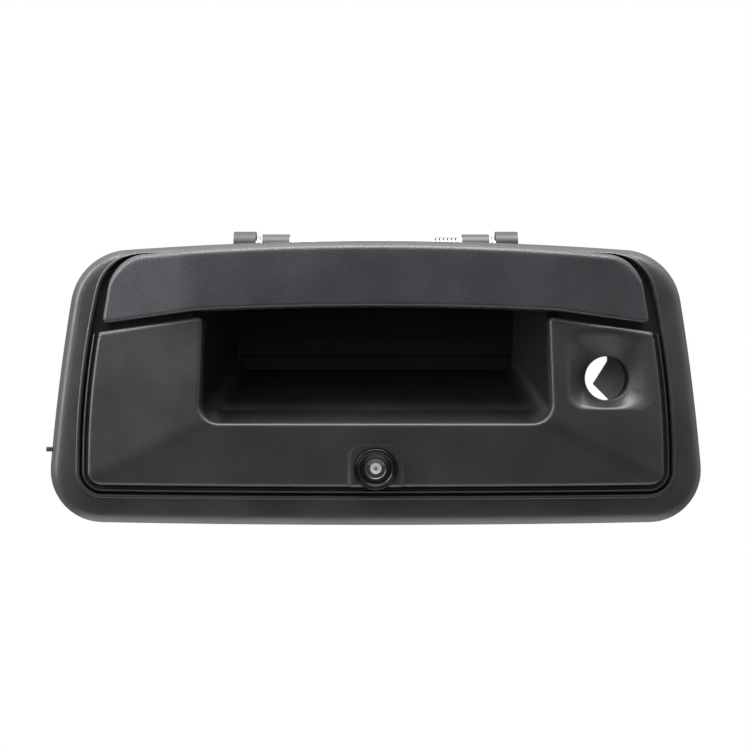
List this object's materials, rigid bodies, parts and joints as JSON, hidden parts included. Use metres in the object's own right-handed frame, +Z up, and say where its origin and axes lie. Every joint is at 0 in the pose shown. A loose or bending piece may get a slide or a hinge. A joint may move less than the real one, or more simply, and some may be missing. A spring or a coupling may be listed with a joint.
{
  "type": "tailgate handle with backup camera",
  "caption": "Pickup tailgate handle bezel with a built-in reversing camera below the hand cup: lift handle, key recess, bell crank and rod clips.",
  "frame": {"origin": "centre of the four fixing studs, on the plane where the seal and carrier sit on the tailgate", "axes": "+X to the right and +Z up as seen from behind the vehicle; +Y into the tailgate, so the handle and camera face -Y"},
  "size_m": [0.3401, 0.086, 0.1537],
  "materials": {
    "textured_black": "fine-grained moulded plastic",
    "handle_black": "fine-grained moulded plastic with a slight sparkle",
    "cup_black": "smooth moulded plastic",
    "carrier_plastic": "glass-filled nylon",
    "frame_plastic": "glass-filled nylon",
    "seal_foam": "closed-cell foam",
    "bumper_rubber": "soft rubber",
    "zinc_steel": "zinc-plated",
    "bright_steel": "ground",
    "spring_steel": "drawn wire",
    "bush_plastic": "acetal",
    "crank_steel": "zinc-plated pressing",
    "cast_zinc": "die cast",
    "clip_plastic": "acetal",
    "camera_gloss": "polished",
    "lens_glass": "coated",
    "lens_black": "anodised look",
    "ring_aluminium": "turned",
    "sensor_black": "bare chip",
    "board_green": "solder mask",
    "contact_brass": "plated"
  },
  "bodies": {
    "base": {"carrier": "carrier_plastic", "bezel_rim": "textured_black", "bezel_seal": "seal_foam", "face_panel": "textured_black", "hand_cup": "cup_black", "mounting_studs": "zinc_steel", "rim_screws": "zinc_steel", "panel_screws": "zinc_steel", "cup_screws": "zinc_steel", "hinge_pin": "bright_steel", "hinge_pin_clips": "spring_steel", "return_spring": "spring_steel", "handle_bumpers": "bumper_rubber", "crank_pin": "zinc_steel", "crank_washer": "zinc_steel", "crank_spring": "spring_steel", "lock_stop_plate": "cast_zinc", "lock_screws": "zinc_steel", "camera_front_shell": "camera_gloss", "camera_rear_shell": "camera_gloss", "camera_seal": "bumper_rubber", "camera_screws": "zinc_steel", "lens_bezel": "camera_gloss", "lens_window": "lens_glass", "lens_barrel": "lens_black", "lens_retaining_ring": "ring_aluminium", "lens_front_element": "lens_glass", "lens_iris": "lens_black", "lens_rear_element": "lens_glass", "image_sensor": "sensor_black", "sensor_board": "board_green", "socket_pins": "contact_brass"},
    "handle": {"handle_cover": "handle_black", "handle_frame": "frame_plastic", "handle_screws": "zinc_steel", "hinge_bushes": "bush_plastic"},
    "crank": {"bell_crank": "crank_steel", "crank_bush": "bush_plastic"},
    "left_clip": {"left_rod_clip": "clip_plastic"},
    "right_clip": {"right_rod_clip": "clip_plastic"}
  },
  "joints": [
    {"name": "handle_hinge", "type": "hinge", "parent": "base", "child": "handle", "pos_m": [0, 0.0125, 0.0724], "axis": [-1, 0, 0], "range_deg": [0, 25], "stiffness_Nm_per_rad": 0.9, "springref_deg": -22.92, "deforming": ["return_spring"]},
    {"name": "crank_pivot", "type": "hinge", "parent": "base", "child": "crank", "pos_m": [0, 0.0555, 0.0292], "axis": [0, 1, 0], "range_deg": [0, 25], "stiffness_Nm_per_rad": 0.12, "springref_deg": -17.19},
    {"name": "left_clip_swivel", "type": "hinge", "parent": "crank", "child": "left_clip", "pos_m": [0, 0.0515, 0.0532], "axis": [0, 1, 0], "range_deg": [-30, 12]},
    {"name": "right_clip_swivel", "type": "hinge", "parent": "crank", "child": "right_clip", "pos_m": [0, 0.0515, 0.0052], "axis": [0, 1, 0], "range_deg": [-30, 12]}
  ],
  "couplings": [
    {"joint": "crank_pivot", "follows": "handle_hinge", "ratio": 1}
  ]
}
